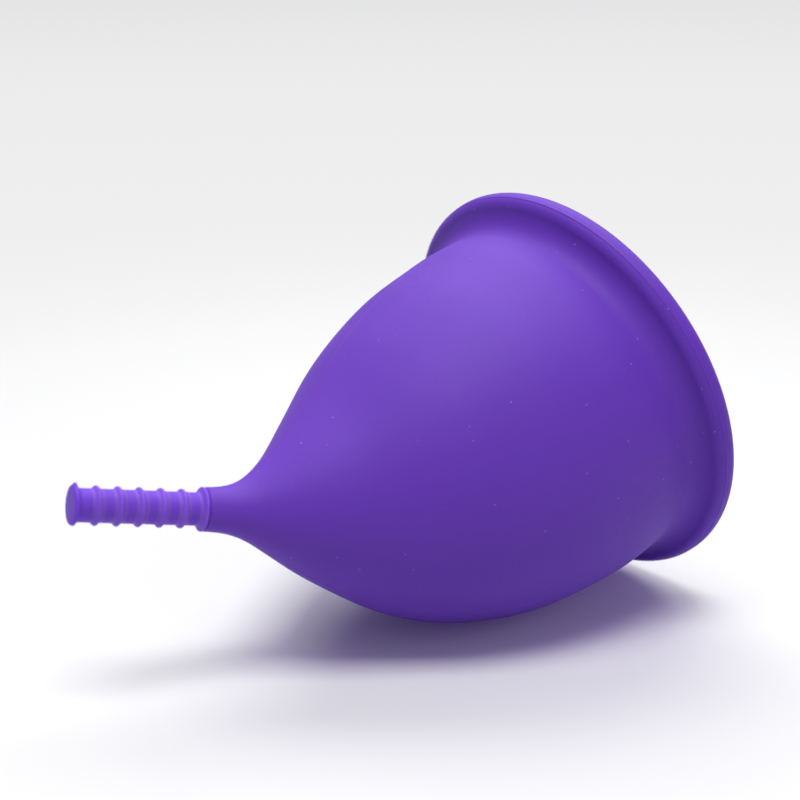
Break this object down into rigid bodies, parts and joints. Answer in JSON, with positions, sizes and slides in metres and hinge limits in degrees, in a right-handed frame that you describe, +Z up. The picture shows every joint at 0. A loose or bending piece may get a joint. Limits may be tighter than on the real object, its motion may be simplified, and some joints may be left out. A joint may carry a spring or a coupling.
{
  "type": "menstrual cup",
  "caption": "Soft silicone bell cup with a rolled, flared rim and a short ribbed stem, lying on its side.",
  "frame": {"origin": "centre of the mouth, on the rim's flat front ring", "axes": "+Z up with the cup lying on its side, +X level and towards the mouth, +Y to the left of +X; the cup's mirror plane, apart from the stem's small turn, is XZ"},
  "size_m": [0.0669, 0.045, 0.0442],
  "materials": {
    "silicone": "matte"
  },
  "bodies": {
    "cup": {"rim_bead": "silicone", "rim_flare": "silicone", "bell_wall": "silicone", "bell_base": "silicone", "stem_root": "silicone", "root_ring": "silicone"},
    "stem_link_1": {"stem_link_1": "silicone", "grip_ring_1": "silicone"},
    "stem_link_2": {"stem_link_2": "silicone", "grip_ring_2": "silicone"},
    "stem_link_3": {"stem_link_3": "silicone", "grip_ring_3": "silicone"},
    "stem_link_4": {"stem_link_4": "silicone", "grip_ring_4": "silicone"},
    "stem_end": {"stem_tip": "silicone", "grip_ring_5": "silicone", "tip_ring": "silicone"}
  },
  "joints": [
    {"name": "stem_bend_vertical", "type": "hinge", "parent": "cup", "child": "stem_link_1", "pos_m": [-0.04855, 0.00216, -0.00488], "axis": [0.2739, 0.9573, 0.0922], "range_deg": [-18, 18], "stiffness_Nm_per_rad": 0.00015},
    {"name": "stem_bend_sideways", "type": "hinge", "parent": "stem_link_1", "child": "stem_link_2", "pos_m": [-0.0505, 0.00268, -0.00451], "axis": [0.1493, -0.137, 0.9792], "range_deg": [-27, 27], "stiffness_Nm_per_rad": 0.0001},
    {"name": "stem_flex_3", "type": "hinge", "parent": "stem_link_2", "child": "stem_link_3", "pos_m": [-0.05245, 0.0032, -0.00414], "axis": [0.2739, 0.9573, 0.0922], "range_deg": [-18, 18], "stiffness_Nm_per_rad": 0.00006},
    {"name": "stem_flex_4", "type": "hinge", "parent": "stem_link_3", "child": "stem_link_4", "pos_m": [-0.0544, 0.00373, -0.00377], "axis": [0.1493, -0.137, 0.9792], "range_deg": [-27, 27], "stiffness_Nm_per_rad": 0.00004},
    {"name": "stem_flex_5", "type": "hinge", "parent": "stem_link_4", "child": "stem_end", "pos_m": [-0.05634, 0.00425, -0.0034], "axis": [0.2739, 0.9573, 0.0922], "range_deg": [-18, 18], "stiffness_Nm_per_rad": 0.00002}
  ],
  "couplings": [
    {"joint": "stem_flex_3", "follows": "stem_bend_vertical", "ratio": 1},
    {"joint": "stem_flex_4", "follows": "stem_bend_sideways", "ratio": 1},
    {"joint": "stem_flex_5", "follows": "stem_bend_vertical", "ratio": 1}
  ]
}
